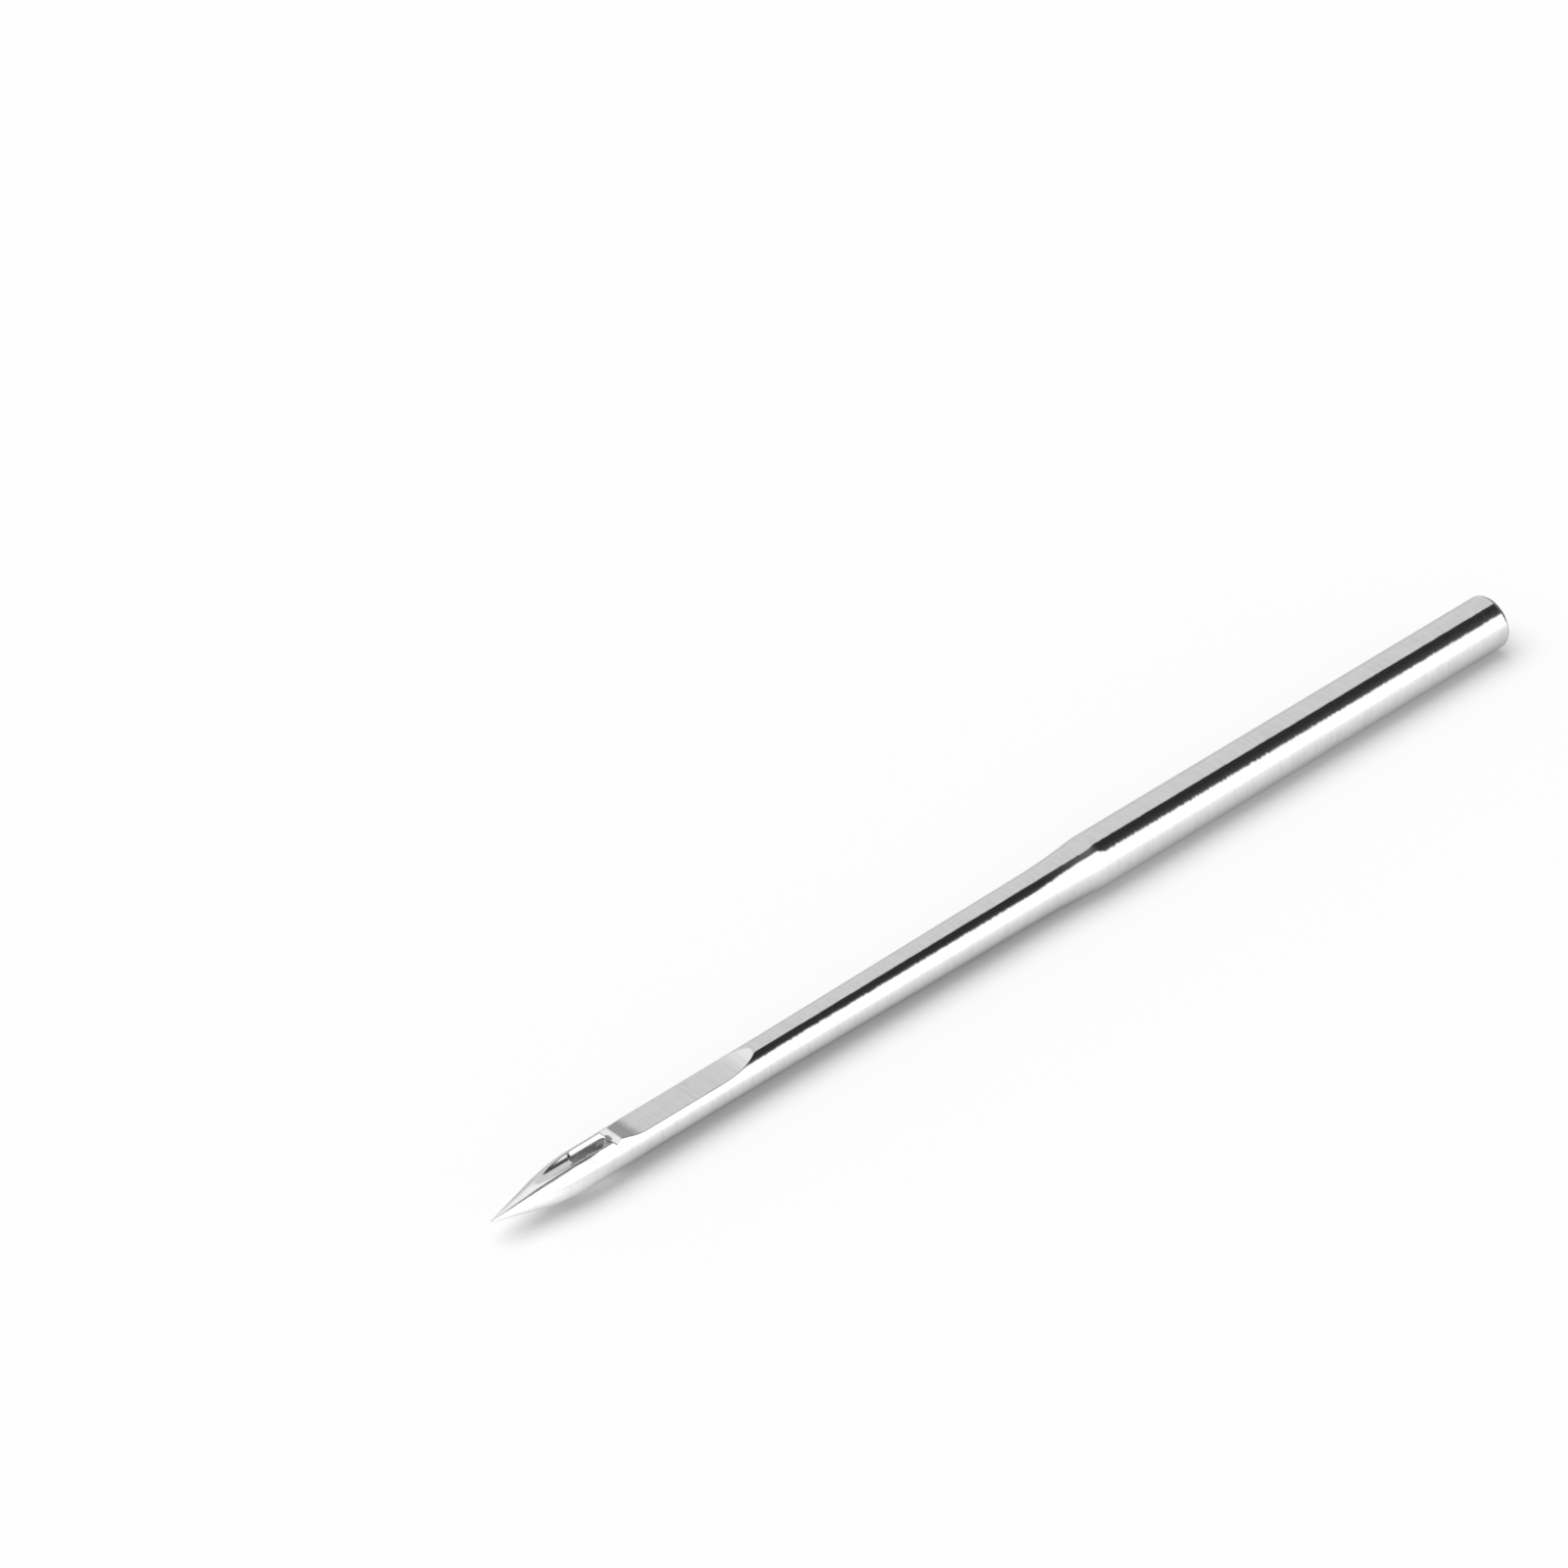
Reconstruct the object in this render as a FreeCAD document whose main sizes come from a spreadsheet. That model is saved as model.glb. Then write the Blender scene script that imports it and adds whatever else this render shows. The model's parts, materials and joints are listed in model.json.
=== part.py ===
import FreeCAD, Part
import math
import os
import Sketcher

# A round-shank needle for an industrial sewing machine, formed and ground from one steel wire.
# Lengths are in mm. In the body's own frame the tip of the point is the origin, the axis runs
# along +X to the butt, the scarf faces +Z and the long groove faces -Z. The body is then placed
# as the needle lies: on its shank, with the middle of its length over the origin.

doc = FreeCAD.newDocument("SewingMachineNeedle")
sheet = doc.addObject("Spreadsheet::Sheet", "Sizes")

drivingSizes = {
    # turned outline
    "total_length": 38.3,
    "shank_diameter": 1.62,
    "shank_length": 15.9,
    "butt_rounding": 0.12,
    "shoulder_radius": 3.5,
    "shoulder_rise": 0.131,
    "shoulder_length": 2.45,
    "taper_start": 10.0,
    "blade_diameter": 1.18,
    "point_length": 3.3,
    "cone_length": 1.4,
    "tip_radius": 0.035,
    # eye, from the tip
    "eye_start": 2.93,
    "eye_length": 1.3,
    "eye_width": 0.31,
    "eye_corner": 0.12,
    # flat ground into the +Z side, with a long slope that starts beside the eye
    "scarf_lead": 0.24,
    "scarf_slope_length": 1.06,
    "scarf_length": 3.05,
    "scarf_depth": 0.18,
    "scarf_runout": 5.5,
    # short groove on the scarf's side, lowest a little before the eye's far end
    "short_groove_lead": 0.2,
    "short_groove_floor": 0.4,
    "short_groove_width": 0.58,
    "short_groove_sweep": 120.0,
    "short_groove_runout": 0.79,
    # long groove on the -Z side, which starts to run out a little before the shank
    "long_groove_stop": 2.1,
    "long_groove_floor": 0.14,
    "long_groove_radius": 0.2,
    "long_groove_flank_angle": 12.0,
    "long_groove_runout": 5.0,
    # wider scoop of the long groove, lowest a little before the eye's middle
    "scoop_lead": 0.25,
    "scoop_floor": 0.2,
    "scoop_width": 0.64,
    "scoop_sweep": 3.0,
    # ramp that takes the long groove's floor down to the eye's middle
    "ramp_length": 1.75,
    "ramp_slope": 0.15,
    "ramp_width": 0.36,
}

for row, (alias, value) in enumerate(drivingSizes.items(), start=1):
    sheet.set(f"A{row}", alias)
    sheet.set(f"B{row}", str(value))
    sheet.setAlias(f"B{row}", alias)
doc.recompute()

needle = doc.addObject("PartDesign::Body", "Needle")
needle.Label = "needle"

# places along the axis that several features share
shankStart = "(Sizes.total_length - Sizes.shank_length)"
eyeEnd = "(Sizes.eye_start + Sizes.eye_length)"
eyeMiddle = "(Sizes.eye_start + Sizes.eye_length / 2)"

# ends and centre of a curve, the sketch's origin and its own axes, as the constraints count them
first, last, centre = range(1, 4)
origin = (-1, 1)
horizontalAxis, verticalAxis = -1, -2
quarterTurn = math.pi / 2


def amount(expression):
    # value that an expression over the sheet's cells has now
    return float(doc.Sizes.evalExpression(expression.replace("Sizes.", "")))


def newSketch(name, role, place=None, turned=0):
    # a sketch on one of the body's origin planes, moved along the plane's normal to its place
    sketch = needle.newObject("Sketcher::SketchObject", name)
    plane = next(plane for plane in needle.Origin.OriginFeatures if plane.Role == role)
    sketch.AttachmentSupport = [(plane, "")]
    sketch.MapMode = "FlatFace"
    turn = FreeCAD.Rotation(FreeCAD.Vector(0, 0, 1), turned)
    sketch.AttachmentOffset = FreeCAD.Placement(FreeCAD.Vector(0, 0, 0), turn)
    if place:
        sketch.setExpression("AttachmentOffset.Base.z", place)
    return sketch


def line(sketch, start, end, construction=False):
    segment = Part.LineSegment(FreeCAD.Vector(*start, 0), FreeCAD.Vector(*end, 0))
    return sketch.addGeometry(segment, construction)


def arc(sketch, middle, radius, startAngle, endAngle):
    circle = Part.Circle(FreeCAD.Vector(*middle, 0), FreeCAD.Vector(0, 0, 1), radius)
    return sketch.addGeometry(Part.ArcOfCircle(circle, startAngle, endAngle), False)


def tie(sketch, kind, *places):
    sketch.addConstraint(Sketcher.Constraint(kind, *places))


def measure(sketch, kind, places, expression):
    # a dimension that follows the sheet
    value = amount(expression)
    if kind == "Angle":
        value = math.radians(value)
    index = sketch.addConstraint(Sketcher.Constraint(kind, *places, value))
    sketch.setExpression(f"Constraints[{index}]", expression)


def finished(feature, grows=False):
    # builds the feature and makes sure that it changed the solid the right way
    before = needle.Tip.BaseFeature.Shape.Volume if needle.Tip.BaseFeature else 0
    doc.recompute()
    if not feature.isValid() or feature.Shape.isNull() or not feature.Shape.isValid():
        raise RuntimeError(f"{feature.Name} failed")
    change = feature.Shape.Volume - before
    if (change > 0) != grows:
        raise RuntimeError(f"{feature.Name} changed the volume by {change:.4f} mm3")
    print(f"{feature.Name}: {change:+.4f} mm3")
    return feature


def turnedOutline():
    sketch = newSketch("TurnedOutline", "XZ_Plane")
    length = amount("Sizes.total_length")
    shankRadius = amount("Sizes.shank_diameter / 2")
    bladeRadius = amount("Sizes.blade_diameter / 2")
    rounding = amount("Sizes.butt_rounding")
    shoulderRadius = amount("Sizes.shoulder_radius")
    tipRadius = amount("Sizes.tip_radius")
    taperX = amount("Sizes.taper_start")
    pointX = amount("Sizes.point_length")
    coneX = amount("Sizes.cone_length")
    shankX = amount(shankStart)
    neckPlace = f"{shankStart} - Sizes.shoulder_length"
    neckX = amount(neckPlace)
    neckHeight = "Sizes.shank_diameter / 2 - Sizes.shoulder_rise"
    neckRadius = amount(neckHeight)

    # slopes where the tangent arcs meet, guessed here and settled by the constraints
    coneAngle = math.atan(1.2 * bladeRadius / pointX)
    taperAngle = math.atan((neckRadius - bladeRadius) / (neckX - taperX))
    shoulderAngle = math.atan(2 * (shankRadius - neckRadius) / (shankX - neckX))
    pointRadius = (pointX - coneX) / math.sin(coneAngle)
    flareEnd = shankX - shoulderRadius * math.sin(shoulderAngle)
    flareRadius = (flareEnd - neckX) / (math.sin(shoulderAngle) - math.sin(taperAngle))
    coneEnd = (coneX, bladeRadius - pointRadius * (1 - math.cos(coneAngle)))
    coneStart = (tipRadius * (1 - math.sin(coneAngle)), tipRadius * math.cos(coneAngle))

    axis = line(sketch, (0, 0), (length, 0))
    butt = line(sketch, (length, 0), (length, shankRadius - rounding))
    edge = arc(sketch, (length - rounding, shankRadius - rounding), rounding, 0, quarterTurn)
    shank = line(sketch, (length - rounding, shankRadius), (shankX, shankRadius))
    shoulder = arc(sketch, (shankX, shankRadius - shoulderRadius), shoulderRadius,
                   quarterTurn, quarterTurn + shoulderAngle)
    flare = arc(sketch, (neckX - flareRadius * math.sin(taperAngle), neckRadius + flareRadius),
                flareRadius, taperAngle - quarterTurn, shoulderAngle - quarterTurn)
    taper = line(sketch, (neckX, neckRadius), (taperX, bladeRadius))
    blade = line(sketch, (taperX, bladeRadius), (pointX, bladeRadius))
    point = arc(sketch, (pointX, bladeRadius - pointRadius), pointRadius,
                quarterTurn, quarterTurn + coneAngle)
    cone = line(sketch, coneEnd, coneStart)
    tip = arc(sketch, (tipRadius, 0), tipRadius, quarterTurn + coneAngle, 2 * quarterTurn)

    tie(sketch, "Coincident", axis, first, *origin)
    tie(sketch, "PointOnObject", axis, last, horizontalAxis)
    tie(sketch, "Coincident", axis, last, butt, first)
    tie(sketch, "Vertical", butt)
    tie(sketch, "Tangent", butt, last, edge, first)
    tie(sketch, "Tangent", edge, last, shank, first)
    tie(sketch, "Horizontal", shank)
    tie(sketch, "Tangent", shank, last, shoulder, first)
    tie(sketch, "Tangent", shoulder, last, flare, last)
    tie(sketch, "Tangent", flare, first, taper, first)
    tie(sketch, "Coincident", taper, last, blade, first)
    tie(sketch, "Horizontal", blade)
    tie(sketch, "Tangent", blade, last, point, first)
    tie(sketch, "Tangent", point, last, cone, first)
    tie(sketch, "Tangent", cone, last, tip, first)
    tie(sketch, "Coincident", tip, last, *origin)
    tie(sketch, "PointOnObject", tip, centre, horizontalAxis)

    measure(sketch, "DistanceX", (*origin, axis, last), "Sizes.total_length")
    measure(sketch, "DistanceY", (*origin, shank, first), "Sizes.shank_diameter / 2")
    measure(sketch, "Radius", (edge,), "Sizes.butt_rounding")
    measure(sketch, "DistanceX", (*origin, shank, last), shankStart)
    measure(sketch, "Radius", (shoulder,), "Sizes.shoulder_radius")
    measure(sketch, "DistanceX", (*origin, taper, first), neckPlace)
    measure(sketch, "DistanceY", (*origin, taper, first), neckHeight)
    measure(sketch, "DistanceX", (*origin, blade, first), "Sizes.taper_start")
    measure(sketch, "DistanceY", (*origin, blade, first), "Sizes.blade_diameter / 2")
    measure(sketch, "DistanceX", (*origin, blade, last), "Sizes.point_length")
    measure(sketch, "DistanceX", (*origin, cone, first), "Sizes.cone_length")
    measure(sketch, "Radius", (tip,), "Sizes.tip_radius")
    return sketch


def eyeOutline():
    # a slot with rounded corners, seen along Z
    sketch = newSketch("EyeOutline", "XY_Plane")
    corner = amount("Sizes.eye_corner")
    left = amount("Sizes.eye_start")
    right = amount(eyeEnd)
    half = amount("Sizes.eye_width / 2")
    innerLeft, innerRight, innerHalf = left + corner, right - corner, half - corner

    top = line(sketch, (innerRight, half), (innerLeft, half))
    tipEnd = line(sketch, (left, innerHalf), (left, -innerHalf))
    bottom = line(sketch, (innerLeft, -half), (innerRight, -half))
    buttEnd = line(sketch, (right, -innerHalf), (right, innerHalf))
    middles = [(innerLeft, innerHalf), (innerLeft, -innerHalf),
               (innerRight, -innerHalf), (innerRight, innerHalf)]
    sides = [top, tipEnd, bottom, buttEnd]
    for turn, middle in enumerate(middles):
        startAngle = (turn + 1) * quarterTurn
        bend = arc(sketch, middle, corner, startAngle, startAngle + quarterTurn)
        tie(sketch, "Tangent", sides[turn], last, bend, first)
        tie(sketch, "Tangent", bend, last, sides[(turn + 1) % len(sides)], first)
        measure(sketch, "Radius", (bend,), "Sizes.eye_corner")

    tie(sketch, "Horizontal", top)
    tie(sketch, "Horizontal", bottom)
    tie(sketch, "Vertical", buttEnd)
    tie(sketch, "Symmetric", tipEnd, first, tipEnd, last, horizontalAxis)
    measure(sketch, "DistanceX", (*origin, tipEnd, first), "Sizes.eye_start")
    measure(sketch, "DistanceX", (tipEnd, first, buttEnd, last), "Sizes.eye_length")
    measure(sketch, "DistanceY", (bottom, first, top, last), "Sizes.eye_width")
    return sketch


def scarfOutline():
    # side view of the cut: a slope beside the eye, the flat, and a long curved run-out
    sketch = newSketch("ScarfOutline", "XZ_Plane")
    lid = amount("Sizes.shank_diameter")
    floor = amount("Sizes.blade_diameter / 2 - Sizes.scarf_depth")
    flatPlace = f"{eyeEnd} - Sizes.scarf_lead + Sizes.scarf_slope_length"
    flatStart = amount(flatPlace)
    flatEnd = flatStart + amount("Sizes.scarf_length")
    runout = amount("Sizes.scarf_runout")
    turn = math.acos(1 - (lid - floor) / runout)
    slopeExpression = ("Sizes.scarf_slope_length * (Sizes.shank_diameter - Sizes.blade_diameter / 2"
                       " + Sizes.scarf_depth) / Sizes.scarf_depth")
    lidStart = flatStart - amount(slopeExpression)

    flat = line(sketch, (flatStart, floor), (flatEnd, floor))
    rise = arc(sketch, (flatEnd, floor + runout), runout, -quarterTurn, turn - quarterTurn)
    cover = line(sketch, (flatEnd + runout * math.sin(turn), lid), (lidStart, lid))
    slope = line(sketch, (lidStart, lid), (flatStart, floor))

    tie(sketch, "Horizontal", flat)
    tie(sketch, "Tangent", flat, last, rise, first)
    tie(sketch, "Coincident", rise, last, cover, first)
    tie(sketch, "Horizontal", cover)
    tie(sketch, "Coincident", cover, last, slope, first)
    tie(sketch, "Coincident", slope, last, flat, first)
    measure(sketch, "DistanceX", (*origin, flat, first), flatPlace)
    measure(sketch, "DistanceY", (*origin, flat, first), "Sizes.blade_diameter / 2 - Sizes.scarf_depth")
    measure(sketch, "DistanceX", (flat, first, flat, last), "Sizes.scarf_length")
    measure(sketch, "Radius", (rise,), "Sizes.scarf_runout")
    measure(sketch, "DistanceY", (*origin, cover, last), "Sizes.shank_diameter")
    measure(sketch, "DistanceX", (slope, first, slope, last), slopeExpression)
    return sketch


def grooveSection(name, place, side, floor, radius, flank="0", wheels=()):
    # Section of a grinding wheel's edge, with its lid at the shank's own radius: side is 0 where
    # the groove opens to +Z and 180 where it opens to -Z. floor is the height of its floor
    # above the needle's axis and radius that of its round nose. Each wheel adds the line that
    # the wheel turns about, at the wheel's radius above the floor.
    sketch = newSketch(name, "YZ_Plane", place, side)
    noseExpression = f"{floor} + {radius}"
    noseRadius = amount(radius)
    noseHeight = amount(noseExpression)
    lean = math.radians(amount(flank))
    lidHeight = amount("Sizes.shank_diameter / 2")
    footHeight = noseHeight - noseRadius * math.sin(lean)
    footHalf = noseRadius * math.cos(lean)
    lidHalf = footHalf + (lidHeight - footHeight) * math.tan(lean)

    nose = arc(sketch, (0, noseHeight), noseRadius, 2 * quarterTurn + lean, 4 * quarterTurn - lean)
    right = line(sketch, (footHalf, footHeight), (lidHalf, lidHeight))
    lid = line(sketch, (lidHalf, lidHeight), (-lidHalf, lidHeight))
    left = line(sketch, (-lidHalf, lidHeight), (-footHalf, footHeight))

    tie(sketch, "PointOnObject", nose, centre, verticalAxis)
    tie(sketch, "Tangent", nose, last, right, first)
    tie(sketch, "Coincident", right, last, lid, first)
    tie(sketch, "Coincident", lid, last, left, first)
    tie(sketch, "Tangent", left, last, nose, first)
    tie(sketch, "Symmetric", lid, first, lid, last, verticalAxis)
    measure(sketch, "Radius", (nose,), radius)
    measure(sketch, "DistanceY", (*origin, nose, centre), noseExpression)
    measure(sketch, "DistanceY", (*origin, lid, first), "Sizes.shank_diameter / 2")
    measure(sketch, "Angle", (right,), f"90 - {flank}")
    for wheel in wheels:
        height = amount(f"{floor} + {wheel}")
        spindle = line(sketch, (0, height), (noseRadius, height), True)
        tie(sketch, "PointOnObject", spindle, first, verticalAxis)
        tie(sketch, "Horizontal", spindle)
        measure(sketch, "DistanceX", (spindle, first, spindle, last), radius)
        measure(sketch, "DistanceY", (*origin, spindle, first), f"{floor} + {wheel}")
    return sketch


def cutThrough(name, sketch):
    pocket = needle.newObject("PartDesign::Pocket", name)
    pocket.Profile = sketch
    pocket.SideType = "Symmetric"
    pocket.Type = "ThroughAll"
    return finished(pocket)


def cutRound(name, section, spindle, angle, reverse=False):
    # the section turned about one of its spindles, as the wheel leaves it
    groove = needle.newObject("PartDesign::Groove", name)
    groove.Profile = section
    groove.ReferenceAxis = (section, [spindle])
    groove.setExpression("Angle", angle)
    groove.Reversed = reverse
    return finished(groove)


blank = needle.newObject("PartDesign::Revolution", "Blank")
blank.Profile = turnedOutline()
blank.ReferenceAxis = (blank.Profile[0], ["H_Axis"])
blank.Angle = 360
finished(blank, grows=True)

runoutPlace = f"{shankStart} - Sizes.long_groove_stop"
longSection = grooveSection("LongGrooveSection", runoutPlace, 180, "Sizes.long_groove_floor",
                            "Sizes.long_groove_radius", "Sizes.long_groove_flank_angle",
                            ["Sizes.long_groove_runout"])
longGroove = needle.newObject("PartDesign::Pocket", "LongGroove")
longGroove.Profile = longSection
longGroove.setExpression("Length", f"{runoutPlace} - {eyeMiddle}")
finished(longGroove)
cutRound("LongGrooveRunout", longSection, "Axis0", "360")

scoopSection = grooveSection("ScoopSection", f"{eyeMiddle} - Sizes.scoop_lead", 180,
                             "Sizes.scoop_floor", "Sizes.scoop_width / 2",
                             wheels=["Sizes.scoop_sweep"])
cutRound("Scoop", scoopSection, "Axis0", "360")

# the ramp runs as far past its start as it runs before it, so that it leaves the floor cleanly
rampStart = f"{eyeMiddle} + Sizes.ramp_length"
ramp = needle.newObject("PartDesign::SubtractiveLoft", "EyeRamp")
ramp.Profile = grooveSection("RampInEye", eyeMiddle, 180,
                             "Sizes.long_groove_floor - Sizes.ramp_slope * Sizes.ramp_length",
                             "Sizes.ramp_width / 2")
ramp.Sections = [grooveSection("RampInGroove", f"{rampStart} + Sizes.ramp_length", 180,
                               "Sizes.long_groove_floor + Sizes.ramp_slope * Sizes.ramp_length",
                               "Sizes.ramp_width / 2")]
ramp.Ruled = True
finished(ramp)

shortPlace = f"{eyeEnd} - Sizes.short_groove_lead"
shortSection = grooveSection("ShortGrooveSection", shortPlace, 0, "Sizes.short_groove_floor",
                             "Sizes.short_groove_width / 2",
                             wheels=["Sizes.short_groove_sweep", "Sizes.short_groove_runout"])
cutRound("ShortGroove", shortSection, "Axis0",
         f"asin(({shortPlace}) / Sizes.short_groove_sweep)", reverse=True)
cutRound("ShortGrooveRunout", shortSection, "Axis1", "360")

cutThrough("Scarf", scarfOutline())
cutThrough("Eye", eyeOutline())

needle.setExpression("Placement.Base.x", "-Sizes.total_length / 2")
needle.setExpression("Placement.Base.z", "Sizes.shank_diameter / 2")
doc.recompute()

for thing in doc.Objects:
    if "Invalid" in thing.State or "Error" in thing.State:
        raise RuntimeError(f"{thing.Name} is {thing.State}")
for sketch in doc.findObjects("Sketcher::SketchObject"):
    if not sketch.FullyConstrained:
        raise RuntimeError(f"{sketch.Name} can still move")
if needle.Shape.isNull() or not needle.Shape.isValid() or len(needle.Shape.Solids) != 1:
    raise RuntimeError("the needle isn't one valid solid")
print(f"volume {needle.Shape.Volume:.3f} mm3, centre of mass {needle.Shape.Solids[0].CenterOfMass}")

os.makedirs("parts", exist_ok=True)
needle.Shape.exportStep(f"parts/{needle.Label}.step")
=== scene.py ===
import json
import math

import bmesh
import bpy
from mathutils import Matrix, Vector


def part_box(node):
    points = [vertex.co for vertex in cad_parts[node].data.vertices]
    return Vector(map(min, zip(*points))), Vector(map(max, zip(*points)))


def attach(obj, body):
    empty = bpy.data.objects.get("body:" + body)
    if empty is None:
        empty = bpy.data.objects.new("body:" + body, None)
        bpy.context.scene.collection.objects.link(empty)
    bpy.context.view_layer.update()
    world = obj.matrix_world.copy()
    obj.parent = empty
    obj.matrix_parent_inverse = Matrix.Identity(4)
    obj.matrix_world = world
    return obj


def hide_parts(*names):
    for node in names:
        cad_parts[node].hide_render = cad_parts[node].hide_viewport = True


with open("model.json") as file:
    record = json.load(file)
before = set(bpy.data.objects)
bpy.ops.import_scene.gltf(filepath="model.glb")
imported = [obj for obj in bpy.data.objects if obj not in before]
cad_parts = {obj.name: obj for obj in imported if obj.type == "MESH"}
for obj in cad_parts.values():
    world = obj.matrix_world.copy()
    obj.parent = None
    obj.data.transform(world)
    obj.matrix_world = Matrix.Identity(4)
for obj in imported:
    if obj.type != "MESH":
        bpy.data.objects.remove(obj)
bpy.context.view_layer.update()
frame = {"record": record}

scene = bpy.context.scene
scene.view_settings.view_transform = "Standard"
mm = 0.001
white = (1, 1, 1, 1)

# the frame gives the needle's length, its shank and where its tip is
needleLow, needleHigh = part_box("needle")
needleLength = (needleHigh.x - needleLow.x) / mm
shankMount = next(mount for mount in frame["record"]["mounts"] if mount["name"] == "shank")
shankRadius = shankMount["dims"]["r_mm"]
shankStart = (shankMount["pos_m"][0] - needleLow.x) / mm - shankMount["dims"]["length_mm"] / 2
print("Frame loaded: needle %.1f mm long, shank from %.2f mm" % (needleLength, shankStart))


# shader maths: sums and products of sockets add their own Math nodes

class Wire:
    def __init__(self, shader, socket):
        self.shader = shader
        self.socket = socket

    def math(self, operation, *values):
        return self.shader.node("ShaderNodeMath", {"operation": operation}, dict(enumerate(values)))

    def __add__(self, other):
        return self.math("ADD", self, other)

    def __radd__(self, other):
        return self.math("ADD", other, self)

    def __sub__(self, other):
        return self.math("SUBTRACT", self, other)

    def __rsub__(self, other):
        return self.math("SUBTRACT", other, self)

    def __mul__(self, other):
        return self.math("MULTIPLY", self, other)

    def __rmul__(self, other):
        return self.math("MULTIPLY", other, self)

    def ramp(self, low, high):
        # 0 below low, 1 above high, smooth between
        sockets = {"Value": self, "From Min": low, "From Max": high}
        return self.shader.node("ShaderNodeMapRange", {"interpolation_type": "SMOOTHSTEP"}, sockets)


def mix(first, second, share):
    # first where share is 0, second where it is 1
    return first + share * (second - first)


class Shader:
    def __init__(self, owner):
        owner.use_nodes = True
        self.tree = owner.node_tree
        self.tree.nodes.clear()

    def node(self, kind, settings={}, sockets={}, output=0):
        made = self.tree.nodes.new(kind)
        for name, value in settings.items():
            setattr(made, name, value)
        for key, value in sockets.items():
            if isinstance(value, Wire):
                self.tree.links.new(value.socket, made.inputs[key])
            else:
                made.inputs[key].default_value = value
        return Wire(self, made.outputs[output]) if len(made.outputs) else None


# camera: the photograph's view, from above the point's side

view = {
    "elevation": 37.8,      # degrees above the floor
    "azimuth": 46.27,       # of the line of sight, from +X towards +Y
    "distance": 0.3442,
    "aim": (-0.00045, 0.00832, 0.00081),
    "fieldOfView": 7.229,
}


def placeCamera():
    elevation = math.radians(view["elevation"])
    azimuth = math.radians(view["azimuth"])
    ahead = Vector((math.cos(elevation) * math.cos(azimuth),
                    math.cos(elevation) * math.sin(azimuth), -math.sin(elevation)))
    lens = bpy.data.cameras.new("camera")
    lens.angle = math.radians(view["fieldOfView"])
    lens.clip_start = 0.01
    camera = bpy.data.objects.new("camera", lens)
    camera.location = Vector(view["aim"]) - ahead * view["distance"]
    camera.rotation_euler = ahead.to_track_quat("-Z", "Y").to_euler()
    scene.collection.objects.link(camera)
    scene.camera = camera


placeCamera()
print("Camera placed")


# needle: lengths in mm from the tip of the point, heights in mm from the axis

blank = {
    "tipRadius": 0.035,
    "coneAngle": 13.53,          # half angle of the point, degrees
    "pointLength": 3.3,
    "bladeRadius": 0.59,
    "taperStart": 10.0,
    "taperSlope": 0.5125,        # degrees
    "shoulderSlope": 5.69,       # where the shoulder is steepest, degrees
    "shoulderRadius": 3.5,
    "buttRounding": 0.12,
    "sides": 320,
    "roundSteps": 8,             # rings across the tip's and the butt's roundings
    "edgeRing": 0.01,            # a ring this close beside the butt's rounding
}
eye = {"start": 2.93, "length": 1.3, "width": 0.31, "corner": 0.12, "rim": 0.03,
       "bevelLow": 0.4, "bevelSlope": 1.23}
cheek = {"middle": 3.95, "facing": 48, "depth": 0.015, "sweep": 45.0}     # flats beside the eye
landing = {"low": 0.45, "slope": 0.3, "back": 1.23}      # behind the eye
eyeEnd = eye["start"] + eye["length"]
eyeMiddle = eye["start"] + eye["length"] / 2
scarf = {"start": eyeEnd - 0.24, "slopeLength": 1.06, "length": 3.05, "depth": 0.18, "bend": 0.28,
         "runout": 5.5}
shortGroove = {"low": eyeEnd - 0.33, "floor": 0.4, "nose": 0.29, "flank": 8,
               "sweep": 120.0, "runout": 0.79}
longGroove = {"end": shankStart - 2.1, "floor": 0.14, "nose": 0.2, "flank": 12, "runout": 5.0}
scoop = {"low": eyeMiddle - 0.25, "floor": 0.2, "nose": 0.32, "flank": 8, "sweep": 3.0}
ramp = {"start": eyeMiddle + 1.75, "floor": longGroove["floor"], "nose": 0.18, "flank": 8,
        "slope": 0.15}
# how far the polished rims are rounded
rimReach = {"scarf": 0.012, "groove": 0.05, "bevel": 0.03, "cheek": 0.008}
noCut = 9.0             # a height above all the rest
groundDepth = 0.02      # a surface this far below the blank has lost its polish
onAxis = 1e-4           # nearer to the axis than this, nothing is cut

# up to this place, this far from ring to ring
ringSpacing = [(1.4, 0.2), (2.78, 0.045), (3.02, 0.015), (4.05, 0.02), (4.3, 0.0125), (5.4, 0.025),
               (7.9, 0.3), (9.8, 0.05), (19.85, 0.6), (23.0, 0.1), (38.0, 1.2)]


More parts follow.
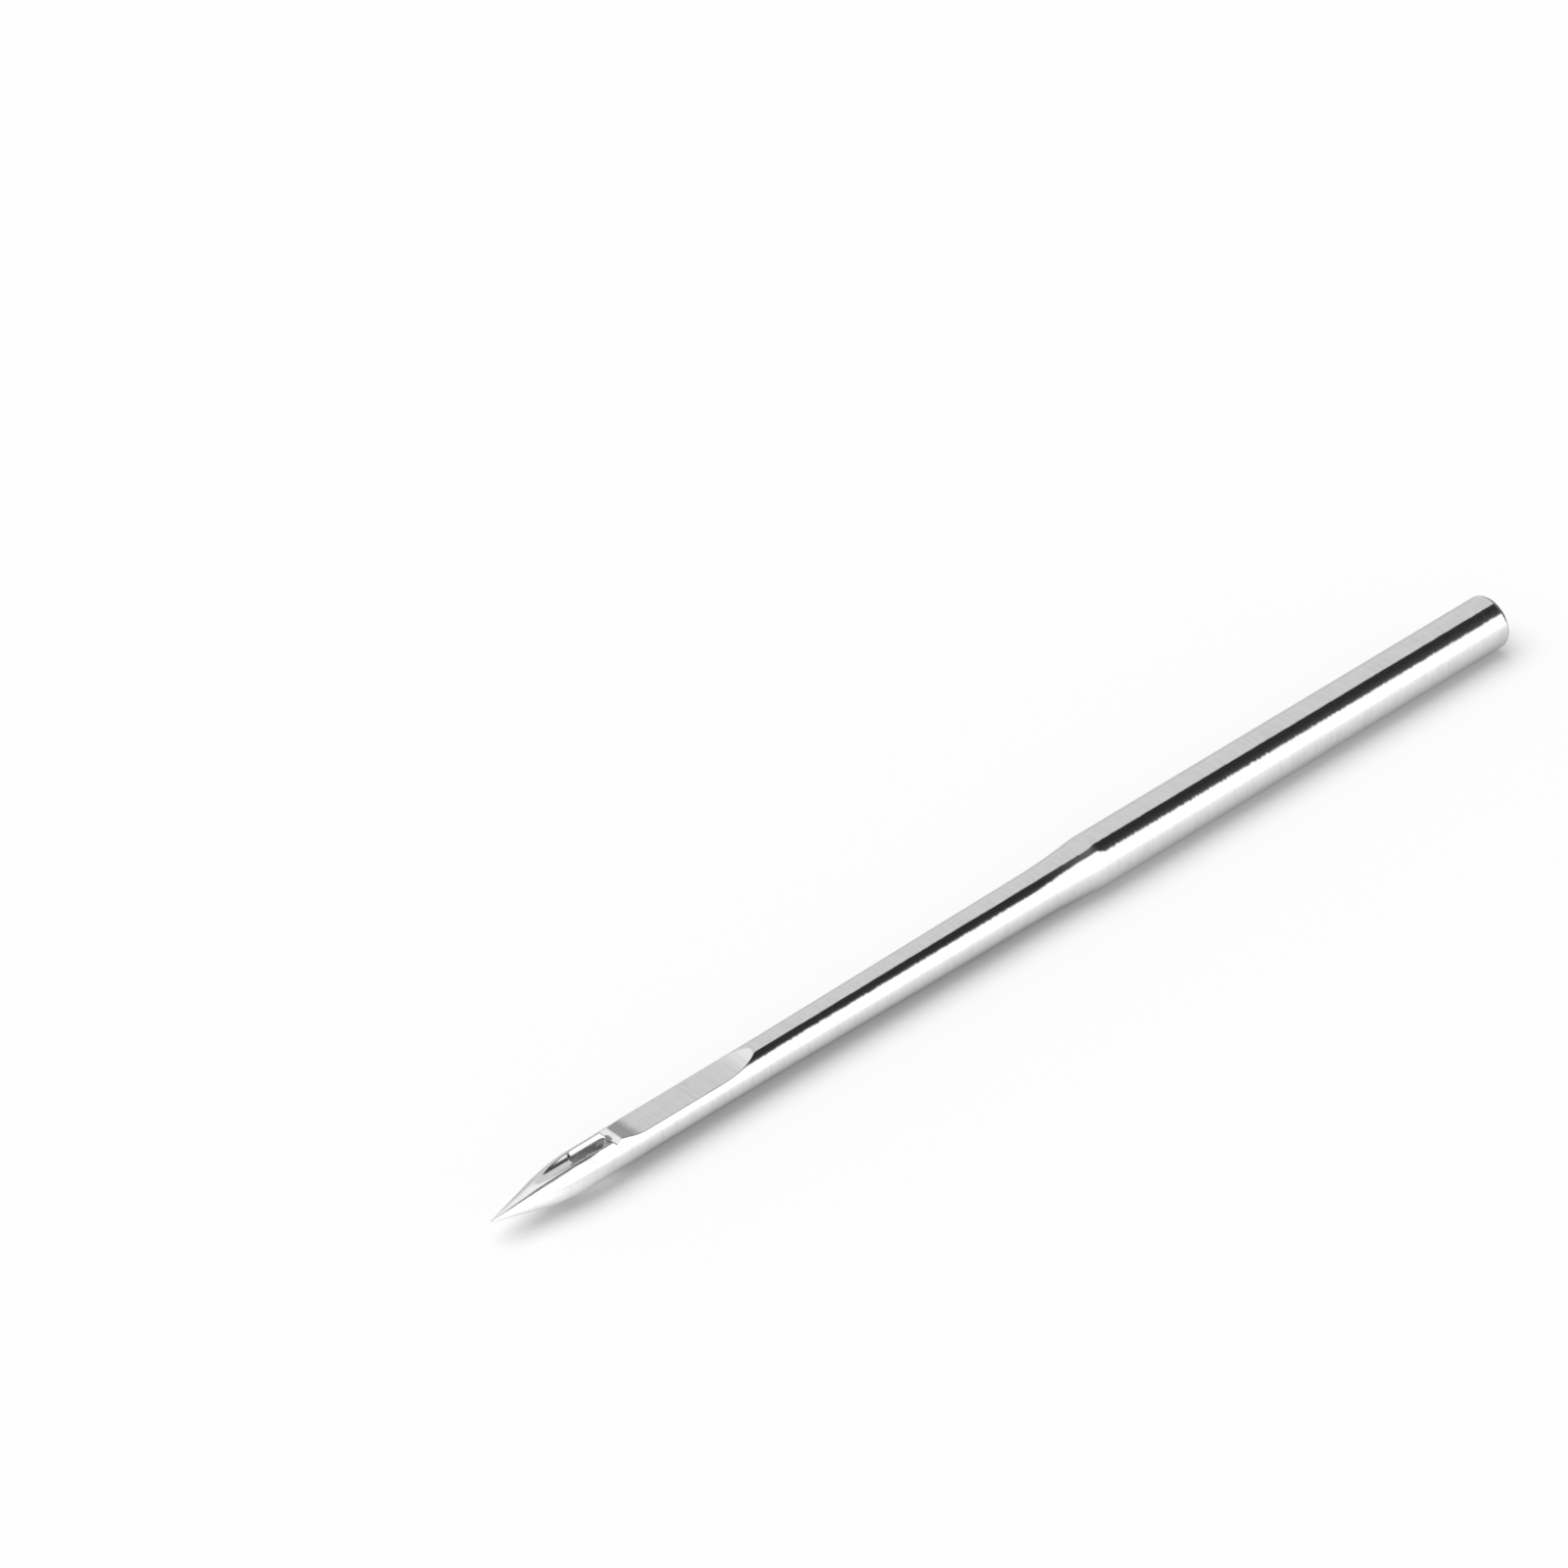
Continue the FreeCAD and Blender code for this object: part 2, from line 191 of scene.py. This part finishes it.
def turnedOutline():
    # radius as a function of the place along the axis, as tangent lines and arcs
    cone = math.radians(blank["coneAngle"])
    taper = math.radians(blank["taperSlope"])
    slope = math.radians(blank["shoulderSlope"])
    tip = blank["tipRadius"]
    blade = blank["bladeRadius"]
    pointX = blank["pointLength"]
    coneX = tip * (1 - math.sin(cone))
    coneR = tip * math.cos(cone)
    pointArc = (math.tan(cone) * (pointX - coneX) + coneR - blade) / (1 / math.cos(cone) - 1)
    arcX = pointX - pointArc * math.sin(cone)
    taperX = blank["taperStart"]
    shoulder = blank["shoulderRadius"]
    bendX = shankStart - shoulder * math.sin(slope)
    bendR = shankRadius - shoulder * (1 - math.cos(slope))
    rise = (bendR - blade - (bendX - taperX) * math.tan(taper)) * math.cos(taper)
    flare = rise / (1 - math.cos(slope - taper))
    flareX = bendX - flare * (math.sin(slope) - math.sin(taper))
    flareMiddleX = bendX - flare * math.sin(slope)
    flareMiddleR = bendR + flare * math.cos(slope)
    rounding = blank["buttRounding"]
    roundingX = needleLength - rounding

    def radius(x):
        if x < coneX:
            return math.sqrt(max(x * (2 * tip - x), 0))
        if x < arcX:
            return coneR + (x - coneX) * math.tan(cone)
        if x < pointX:
            return blade - pointArc + math.sqrt(pointArc ** 2 - (pointX - x) ** 2)
        if x < taperX:
            return blade
        if x < flareX:
            return blade + (x - taperX) * math.tan(taper)
        if x < bendX:
            return flareMiddleR - math.sqrt(flare ** 2 - (x - flareMiddleX) ** 2)
        if x < shankStart:
            return shankRadius - shoulder + math.sqrt(shoulder ** 2 - (shankStart - x) ** 2)
        if x < roundingX:
            return shankRadius
        return shankRadius - rounding + math.sqrt(max(rounding ** 2 - (x - roundingX) ** 2, 0))

    turns = [step / blank["roundSteps"] for step in range(blank["roundSteps"] + 1)]
    places = [coneX * (1 - math.cos(turn * math.pi / 2)) for turn in turns]
    for end, spacing in ringSpacing:
        start = places[-1]
        count = math.ceil((end - start) / spacing)
        places += [start + (end - start) * (step + 1) / count for step in range(count)]
    places += [roundingX - blank["edgeRing"]]
    places += [roundingX + rounding * math.sin(turn * math.pi / 2) for turn in turns]
    outline = [(x, radius(x)) for x in places]
    flat = shankRadius - rounding
    outline += [(needleLength, flat - blank["edgeRing"]), (needleLength, flat / 2), (needleLength, 0)]
    return outline


def softMin(first, second, reach):
    # the lower of two heights, with their ridge rounded off
    overlap = max(reach - abs(first - second), 0) / reach
    return min(first, second) - overlap * overlap * reach / 4


def wheelNose(y, cut):
    # height of a grinding wheel's round edge above its lowest point
    flank = math.radians(cut["flank"])
    foot = cut["nose"] * math.cos(flank)
    if abs(y) < foot:
        return cut["nose"] - math.sqrt(cut["nose"] ** 2 - y ** 2)
    return cut["nose"] * (1 - math.sin(flank)) + (abs(y) - foot) / math.tan(flank)


def wheelCut(x, y, cut, low, sweep):
    # what a wheel of radius sweep leaves, lowest at x = low
    reach = sweep - wheelNose(y, cut)
    if reach <= abs(x - low):
        return noCut
    return cut["floor"] + sweep - math.sqrt(reach ** 2 - (x - low) ** 2)


def scarfCut(x):
    floor = blank["bladeRadius"] - scarf["depth"]
    fall = scarf["depth"] / scarf["slopeLength"]
    bend = scarf["bend"]
    flatStart = scarf["start"] + scarf["slopeLength"]
    flatEnd = flatStart + scarf["length"]
    if x < flatStart - bend:
        return floor + (flatStart - x) * fall
    if x < flatStart + bend:
        return floor + (flatStart + bend - x) ** 2 * fall / (4 * bend)
    if x < flatEnd:
        return floor
    if x < flatEnd + scarf["runout"] / 2:
        return floor + scarf["runout"] - math.sqrt(scarf["runout"] ** 2 - (x - flatEnd) ** 2)
    return noCut


def shortGrooveCut(x, y):
    sweep = shortGroove["sweep"] if x < shortGroove["low"] else shortGroove["runout"]
    return wheelCut(x, y, shortGroove, shortGroove["low"], sweep)


def longGrooveCut(x, y):
    if x < eyeMiddle:
        return noCut
    if x < longGroove["end"]:
        return longGroove["floor"] + wheelNose(y, longGroove)
    return wheelCut(x, y, longGroove, longGroove["end"], longGroove["runout"])


def rampCut(x, y):
    if x < eyeMiddle:
        return noCut
    return ramp["floor"] + ramp["slope"] * (x - ramp["start"]) + wheelNose(y, ramp)


def eyeGap(x, y):
    # distance from the eye's outline, less than 0 inside it
    across = abs(y) - (eye["width"] / 2 - eye["corner"])
    along = abs(x - eyeMiddle) - (eye["length"] / 2 - eye["corner"])
    outside = math.hypot(max(across, 0), max(along, 0))
    return outside + min(max(across, along), 0) - eye["corner"]


def cheekCut(x, y):
    # a slanting flat that the eye's punch leaves on each side
    facing = math.radians(cheek["facing"])
    reach = blank["bladeRadius"] - cheek["depth"] + (x - cheek["middle"]) ** 2 / (2 * cheek["sweep"])
    return (reach - abs(y) * math.cos(facing)) / math.sin(facing)


def landingCut(x):
    if x > eyeEnd:
        return landing["low"] + (x - eyeEnd) * landing["slope"]
    return landing["low"] + (eyeEnd - x) * landing["back"]


def ontoEyeOutline(x, y):
    nudge = 1e-4
    gap = eyeGap(x, y)
    slopeX = (eyeGap(x + nudge, y) - eyeGap(x - nudge, y)) / (2 * nudge)
    slopeY = (eyeGap(x, y + nudge) - eyeGap(x, y - nudge)) / (2 * nudge)
    return x - gap * slopeX, y - gap * slopeY


def groundHeight(x, y, turned, side):
    # height of the finished surface above the axis, on the scarf's side or the long groove's
    if side > 0:
        height = softMin(turned, scarfCut(x), rimReach["scarf"])
        height = softMin(height, landingCut(x), rimReach["scarf"])
        height = softMin(height, shortGrooveCut(x, y), rimReach["groove"])
        bevel = eye["bevelLow"] + eye["bevelSlope"] * max(eyeGap(x, y), 0)
        height = softMin(height, bevel, rimReach["bevel"])
    else:
        scooped = wheelCut(x, y, scoop, scoop["low"], scoop["sweep"])
        height = softMin(turned, longGrooveCut(x, y), rimReach["groove"])
        height = softMin(height, scooped, rimReach["groove"])
        height = softMin(height, rampCut(x, y), rimReach["groove"])
    inset = eye["rim"] - max(eyeGap(x, y), 0)
    if inset > 0:
        height -= eye["rim"] - math.sqrt(eye["rim"] ** 2 - inset ** 2)
    return height


def turnBlank(bm):
    profile = [bm.verts.new((x, 0, radius)) for x, radius in turnedOutline()]
    edges = [bm.edges.new(pair) for pair in zip(profile, profile[1:])]
    bmesh.ops.spin(bm, geom=profile + edges, cent=(0, 0, 0), axis=(1, 0, 0), dvec=(0, 0, 0),
                   angle=2 * math.pi, steps=blank["sides"], use_merge=True, use_duplicate=False)
    bmesh.ops.remove_doubles(bm, verts=bm.verts, dist=1e-5)
    bmesh.ops.recalc_face_normals(bm, faces=bm.faces)


def openEye(bm):
    # the faces inside the outline go, and the two rims are drawn onto it
    inside = []
    for face in bm.faces:
        middle = face.calc_center_median()
        if eye["start"] < middle.x < eyeEnd and eyeGap(middle.x, middle.y) < 0:
            inside.append(face)
    bmesh.ops.delete(bm, geom=inside, context="FACES")
    rims = [edge for edge in bm.edges if edge.is_boundary]
    for vertex in {vertex for edge in rims for vertex in edge.verts}:
        vertex.co.x, vertex.co.y = ontoEyeOutline(vertex.co.x, vertex.co.y)
    return rims


def grindBlank(bm):
    # every vertex drops onto what the wheels leave; ground says how far below the blank it ends
    ground = bm.verts.layers.float.new("ground")
    for vertex in bm.verts:
        x, y, z = vertex.co
        if abs(z) > onAxis:
            side = math.copysign(1, z)
            pressed = softMin(abs(z), cheekCut(x, y), rimReach["cheek"]) if side > 0 else -z
            height = groundHeight(x, y, pressed, side)
            vertex.co.z = side * height
            vertex[ground] = min((pressed - height) / groundDepth, 1)


def makeNeedle():
    bm = bmesh.new()
    turnBlank(bm)
    rims = openEye(bm)
    grindBlank(bm)
    bmesh.ops.bridge_loops(bm, edges=rims)
    bmesh.ops.recalc_face_normals(bm, faces=bm.faces)
    bmesh.ops.scale(bm, verts=bm.verts, vec=(mm, mm, mm))
    bmesh.ops.translate(bm, verts=bm.verts, vec=(needleLow.x, 0, shankRadius * mm))
    for face in bm.faces:
        face.smooth = True
    mesh = bpy.data.meshes.new("needle_steel")
    bm.to_mesh(mesh)
    print("Needle ground: %d triangles, %d open edges" % (
        sum(len(face.verts) - 2 for face in bm.faces), sum(not edge.is_manifold for edge in bm.edges)))
    bm.free()
    needle = bpy.data.objects.new("needle_steel", mesh)
    scene.collection.objects.link(needle)
    return needle


# plated steel

plate = {
    "colour": (0.78, 0.78, 0.782, 1),
    "dullColour": (0.66, 0.66, 0.66, 1),
    "wear": 0.45,               # how far the marks dull the polish
    "roughness": 0.06,
    "groundRoughness": 0.16,
    "roundMarks": 1.9e-6,       # depth of the shank's grinding marks, which run round it
    "roundMarksOnBlade": 0.35,
    "longMarks": 1.0e-6,        # depth of the blade's polishing marks, which run along it
    "mottle": 3.6e-6,
    "roundFineness": (9000, 900, 900),
    "longFineness": (700, 14000, 14000),
    "mottleFineness": (2600, 2600, 2600),
    "marksRoughness": 0.04,
    "dullMarks": (0.35, 0.7),   # the noise where the steel starts to dull and where it is dullest
    "dullMottle": (0.3, 0.6),
    "shankEdge": (-0.5, 0.2),   # where the blade's finish ends, mm from the shoulder's end
}


def marks(shader, place, fineness, detail):
    # noise whose fineness is given per metre along each axis
    stretched = shader.node("ShaderNodeVectorMath", {"operation": "MULTIPLY"}, {0: place, 1: fineness})
    grain = {"Vector": stretched, "Scale": 1.0, "Detail": detail}
    return shader.node("ShaderNodeTexNoise", {}, grain, "Fac")


def platedSteel():
    material = bpy.data.materials.new("plated_steel")
    shader = Shader(material)
    place = shader.node("ShaderNodeTexCoord", output="Object")
    x = shader.node("ShaderNodeSeparateXYZ", {}, {"Vector": place}, "X")
    shank = x.ramp(*[needleLow.x + (shankStart + edge) * mm for edge in plate["shankEdge"]])
    ground = shader.node("ShaderNodeAttribute", {"attribute_name": "ground"}, {}, "Fac")
    roundMarks = marks(shader, place, plate["roundFineness"], 3)
    longMarks = marks(shader, place, plate["longFineness"], 2)
    mottle = marks(shader, place, plate["mottleFineness"], 2)
    height = (roundMarks * mix(plate["roundMarksOnBlade"], 1, shank) * plate["roundMarks"]
              + longMarks * (1 - shank) * plate["longMarks"] + mottle * plate["mottle"])
    dull = roundMarks.ramp(*plate["dullMarks"]) * mottle.ramp(*plate["dullMottle"]) * plate["wear"]
    colour = shader.node("ShaderNodeMix", {"data_type": "RGBA"},
                         {0: dull, 6: plate["colour"], 7: plate["dullColour"]}, 2)
    worn = mix(roundMarks, longMarks, 1 - shank)
    polish = mix(plate["roughness"], plate["groundRoughness"], ground)
    roughness = polish + worn * plate["marksRoughness"]
    bump = shader.node("ShaderNodeBump", {}, {"Height": height, "Distance": 1.0, "Strength": 1.0})
    surface = shader.node("ShaderNodeBsdfPrincipled", {}, {
        "Base Color": colour, "Metallic": 1.0, "Roughness": roughness, "Normal": bump})
    shader.node("ShaderNodeOutputMaterial", {}, {"Surface": surface})
    return material


needle = makeNeedle()
needle.data.materials.append(platedSteel())
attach(needle, "root")
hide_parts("needle")


# floor and light

floorLook = {
    "size": 2.0,
    "colour": 0.88,
    "mirroredShadeColour": 0.26,     # painted shade: the paper as the steel shows it, darker than it is, for the shade round the needle
    "lift": 0.12,
    "nearPaintedLight": 0.98,           # painted light in the steel's reflection of the paper towards the viewer, brighter with distance from the needle
    "nearReach": 1.5,           # mm, as are the other reaches
    # painted light in the steel's reflection of the paper behind the needle and under the point
    "behindPaintedLight": 0.42,
    "behindReach": (0.3, 1.5),
    "tipPaintedLight": 0.65,
    "tipReach": 6,
}
tent = {
    # how bright its sides are
    "far": 0.77,
    "farTip": 1.1,
    "farTipLow": 0.5,
    "farSide": 0.42,
    "back": 0.2,
    "dark": 0.03,           # a dark strip overhead, along the needle
    "darkNear": 0.08,
    "line": 0.3,            # that strip's end towards the tip
    "near": 1.42,
    "butt": 0.38,
    "fill": 0.45,           # what the tent gives the floor
    # degrees about the needle's axis, from the far horizon over the top
    "darkStart": 80,
    "darkEnd": 112,
    "darkEndButt": 134,
    "tipStart": 20,         # how much later the strip starts and ends towards the tip
    "tipEnd": 5,
    "softness": 3,
    "darkFade": (100, 135),
    "farRise": (0, 60),
    # from where to where one side passes into the next, 1 being straight along the needle
    "tipReach": (0.25, 0.54),
    "darkReach": (0.42, 0.62),
    "farReach": (0.2, 0.42),
    "sideReach": (-0.15, 0.05),
    "backReach": (-0.8, -0.45),
    "buttReach": (0.61, 0.67),
    "edgeReach": (0.76, 0.84),
}
lamp = {"strength": 1.8, "spread": 56, "from": (-0.3, 0.18, 0.94)}


def makeFloor():
    bm = bmesh.new()
    bmesh.ops.create_grid(bm, x_segments=1, y_segments=1, size=floorLook["size"])
    mesh = bpy.data.meshes.new("floor")
    bm.to_mesh(mesh)
    bm.free()
    floor = bpy.data.objects.new("floor", mesh)
    scene.collection.objects.link(floor)
    material = bpy.data.materials.new("floor")
    shader = Shader(material)
    seen = shader.node("ShaderNodeLightPath", output="Is Camera Ray")
    mirrored = shader.node("ShaderNodeLightPath", output="Is Glossy Ray")
    # painted shade: in the steel's reflections the paper takes a darker colour, standing in for the
    # shade round the needle
    grey = mix(floorLook["colour"], floorLook["mirroredShadeColour"], mirrored)
    paper = shader.node("ShaderNodeBsdfDiffuse", {}, {"Color": grey})
    place = shader.node("ShaderNodeTexCoord", output="Object")
    along = shader.node("ShaderNodeSeparateXYZ", {}, {"Vector": place}, "X")
    across = shader.node("ShaderNodeSeparateXYZ", {}, {"Vector": place}, "Y")
    # painted light and shade in the steel's reflection of the paper: for glossy rays it glows, more
    # with distance from the needle, behind it and under the point
    underTip = 1 - along.ramp(needleLow.x, needleLow.x + floorLook["tipReach"] * mm)
    distance = across.math("MAXIMUM", across * -1, 0.0)
    away = distance.math("DIVIDE", distance, distance + floorLook["nearReach"] * mm)
    behind = across.ramp(*[reach * mm for reach in floorLook["behindReach"]])
    paintedReflectionLight = (away * floorLook["nearPaintedLight"] + behind * floorLook["behindPaintedLight"]
             + underTip * floorLook["tipPaintedLight"])
    lift = seen * floorLook["lift"] + mirrored * paintedReflectionLight
    # an even lift for camera rays, plus the painted light that only the steel's reflections show
    glow = shader.node("ShaderNodeEmission", {}, {"Color": white, "Strength": lift})
    surface = shader.node("ShaderNodeAddShader", {}, {0: paper, 1: glow})
    shader.node("ShaderNodeOutputMaterial", {}, {"Surface": surface})
    mesh.materials.append(material)


def lightTent():
    world = bpy.data.worlds.new("light_tent")
    scene.world = world
    shader = Shader(world)
    direction = shader.node("ShaderNodeTexCoord", output="Generated")
    split = {"Vector": direction}
    x = shader.node("ShaderNodeSeparateXYZ", {}, split, "X")
    y = shader.node("ShaderNodeSeparateXYZ", {}, split, "Y")
    z = shader.node("ShaderNodeSeparateXYZ", {}, split, "Z")
    turn = z.math("DEGREES", z.math("ARCTAN2", z, y))
    soft = tent["softness"]
    tipward = 1 - x.ramp(*tent["tipReach"])
    start = tent["darkStart"] + tipward * tent["tipStart"]
    dark = turn.ramp(start - soft, start + soft)
    end = mix(tent["darkEnd"], tent["darkEndButt"], x.ramp(*tent["darkReach"]))
    near = (turn - end - tipward * tent["tipEnd"]).ramp(-2 * soft, 2 * soft)
    deep = mix(tent["dark"], tent["darkNear"], turn.ramp(*tent["darkFade"]))
    deep = mix(deep, tent["line"], tipward)
    far = mix(tent["farTipLow"], tent["farTip"], turn.ramp(*tent["farRise"]))
    far = mix(far, tent["far"], x.ramp(*tent["farReach"]))
    far = mix(tent["farSide"], far, x.ramp(*tent["sideReach"]))
    far = mix(tent["back"], far, x.ramp(*tent["backReach"]))
    light = mix(mix(far, deep, dark), tent["near"], near)
    light = mix(light, tent["butt"], x.ramp(*tent["buttReach"]))
    light = mix(light, tent["dark"], x.ramp(*tent["edgeReach"]))
    seen = shader.node("ShaderNodeLightPath", output="Is Camera Ray")
    mirrored = shader.node("ShaderNodeLightPath", output="Is Glossy Ray")
    scattered = shader.node("ShaderNodeLightPath", output="Diffuse Depth")
    direct = mirrored * (1 - scattered.ramp(0, 1))
    strength = mix(mix(tent["fill"], light, direct), 1, seen)
    background = shader.node("ShaderNodeBackground", {}, {"Color": white, "Strength": strength})
    shader.node("ShaderNodeOutputWorld", {}, {"Surface": background})


def hangLamp():
    # a broad soft lamp almost overhead, which lights the floor and isn't mirrored in the steel
    sun = bpy.data.lights.new("softbox", "SUN")
    sun.energy = lamp["strength"]
    sun.angle = math.radians(lamp["spread"])
    softbox = bpy.data.objects.new("softbox", sun)
    softbox.rotation_euler = Vector(lamp["from"]).to_track_quat("Z", "Y").to_euler()
    softbox.visible_glossy = False
    scene.collection.objects.link(softbox)


makeFloor()
lightTent()
hangLamp()
print("Floor and light made")
